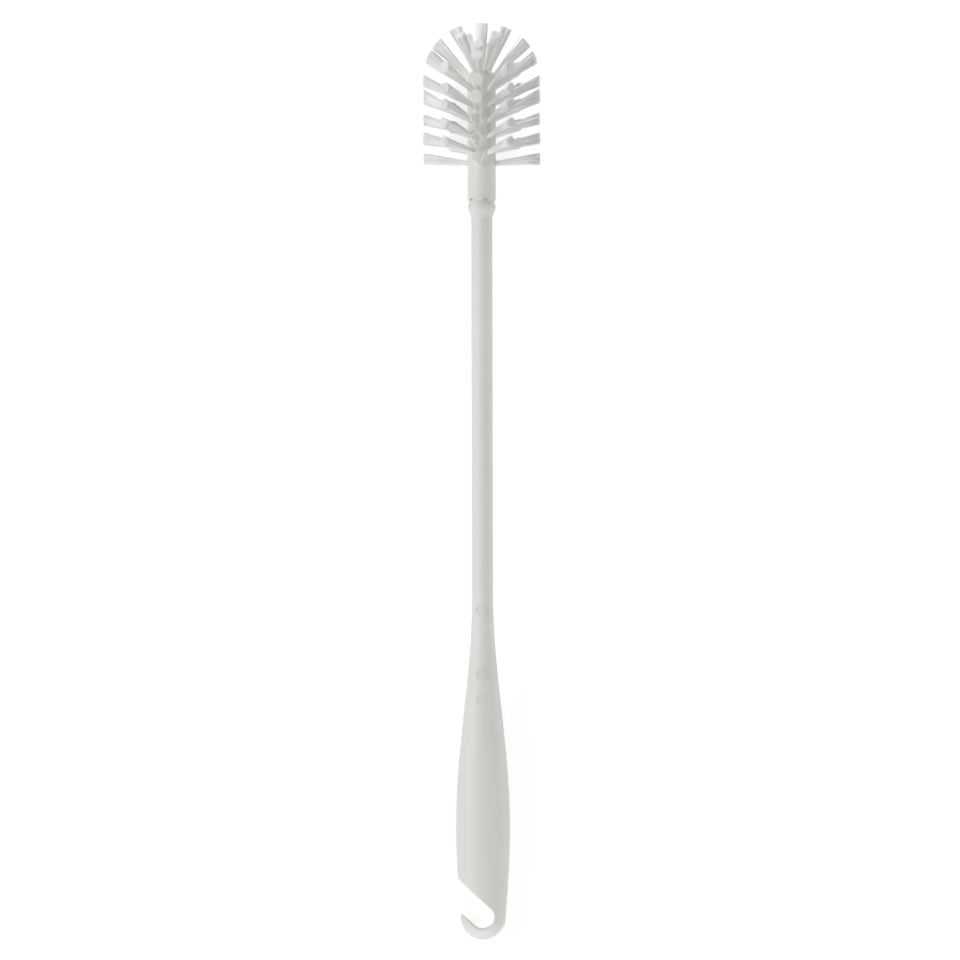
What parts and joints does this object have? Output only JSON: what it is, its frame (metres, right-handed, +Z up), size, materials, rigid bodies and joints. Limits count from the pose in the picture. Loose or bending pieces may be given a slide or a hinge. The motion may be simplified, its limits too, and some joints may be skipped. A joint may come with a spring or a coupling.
{
  "type": "bottle brush",
  "caption": "Long-handled bottle brush lying on its side: bullet-shaped head of separate bristle tufts, slim round shaft, swelling oval grip and an open hook cut into its end.",
  "frame": {"origin": "centre of the lying brush's bounding box, on the surface that it rests on", "axes": "+Y along the brush from the hook to the bristle head, +Z up from the surface, the hook's mouth opens towards -X"},
  "size_m": [0.0484, 0.3894, 0.0501],
  "materials": {
    "handle_plastic": "moulded satin white",
    "core_plastic": "moulded satin white",
    "bristle": "white nylon filament",
    "anchor_wire": "flat drawn wire"
  },
  "bodies": {
    "root": {"handle": "handle_plastic", "brush_core": "core_plastic", "tufts_row_000": "bristle", "tufts_row_054": "bristle", "tufts_row_090": "bristle", "tufts_row_126": "bristle", "tufts_row_180": "bristle", "tufts_row_234": "bristle", "tufts_row_270": "bristle", "tufts_row_306": "bristle", "tufts_outer_ring": "bristle", "tufts_middle_ring": "bristle", "tufts_inner_ring": "bristle", "tufts_crown": "bristle", "anchors_row_000": "anchor_wire", "anchors_row_054": "anchor_wire", "anchors_row_090": "anchor_wire", "anchors_row_126": "anchor_wire", "anchors_row_180": "anchor_wire", "anchors_row_234": "anchor_wire", "anchors_row_270": "anchor_wire", "anchors_row_306": "anchor_wire", "anchors_outer_ring": "anchor_wire", "anchors_middle_ring": "anchor_wire", "anchors_inner_ring": "anchor_wire", "anchors_crown": "anchor_wire"}
  },
  "joints": []
}
